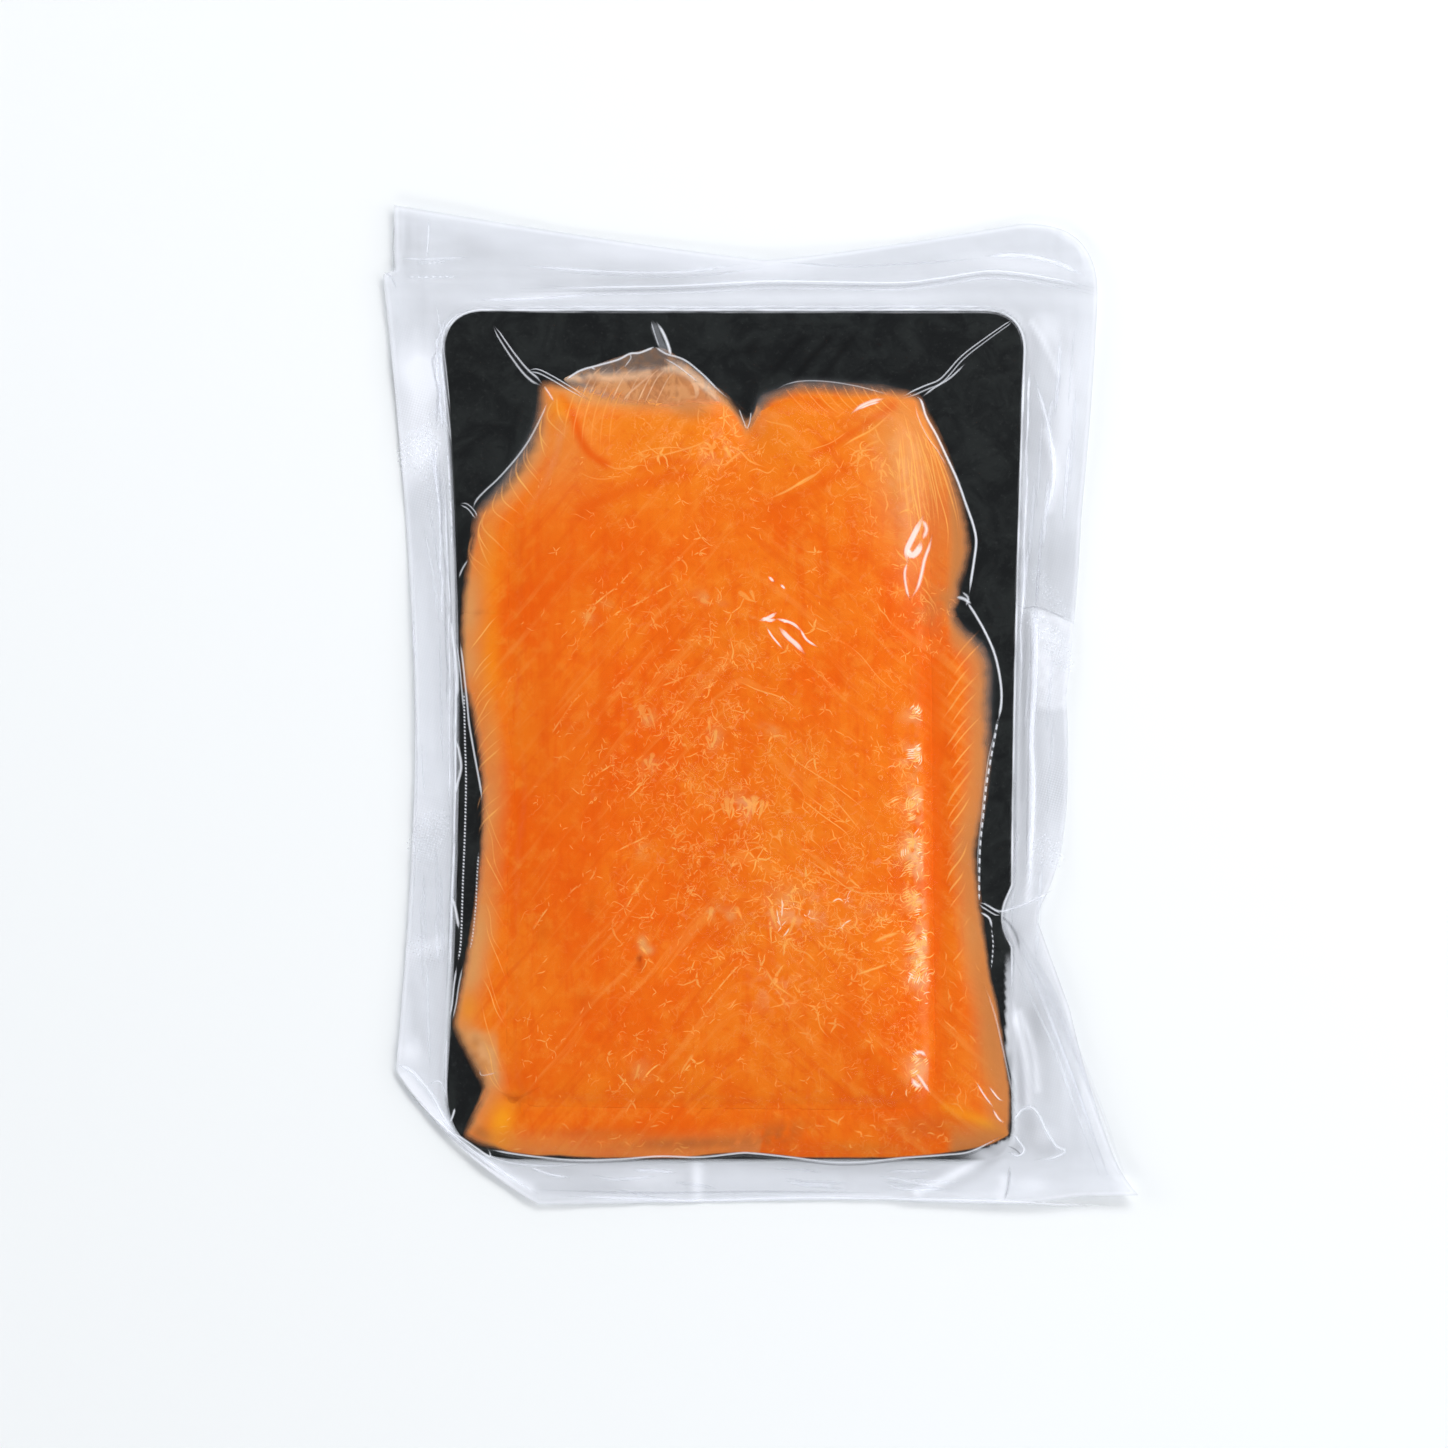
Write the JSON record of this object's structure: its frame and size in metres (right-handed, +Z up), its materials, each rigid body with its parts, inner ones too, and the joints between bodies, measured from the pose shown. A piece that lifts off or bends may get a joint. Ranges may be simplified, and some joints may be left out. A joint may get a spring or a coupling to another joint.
{
  "type": "pack of smoked salmon",
  "caption": "Vacuum pack of sliced smoked salmon: a stack of slices on a dark card board under tightly drawn clear film with wide sealed margins, lying face up.",
  "frame": {"origin": "middle of the pack's footprint, on the surface it lies on", "axes": "+Z up out of the face, +Y towards the top seal, +X to the right as the face is looked at"},
  "size_m": [0.197, 0.261, 0.0132],
  "materials": {
    "film": "glossy clear film",
    "card": "satin black laminated card",
    "fish": "moist orange flesh with pale fat lines",
    "membrane": "thin beige see-through flap"
  },
  "bodies": {
    "root": {"film_back": "film", "card_board": "card", "slice_lower": "fish", "slice_shoulder": "fish", "slice_top": "fish", "membrane_flap": "membrane", "film_front": "film"}
  },
  "joints": []
}
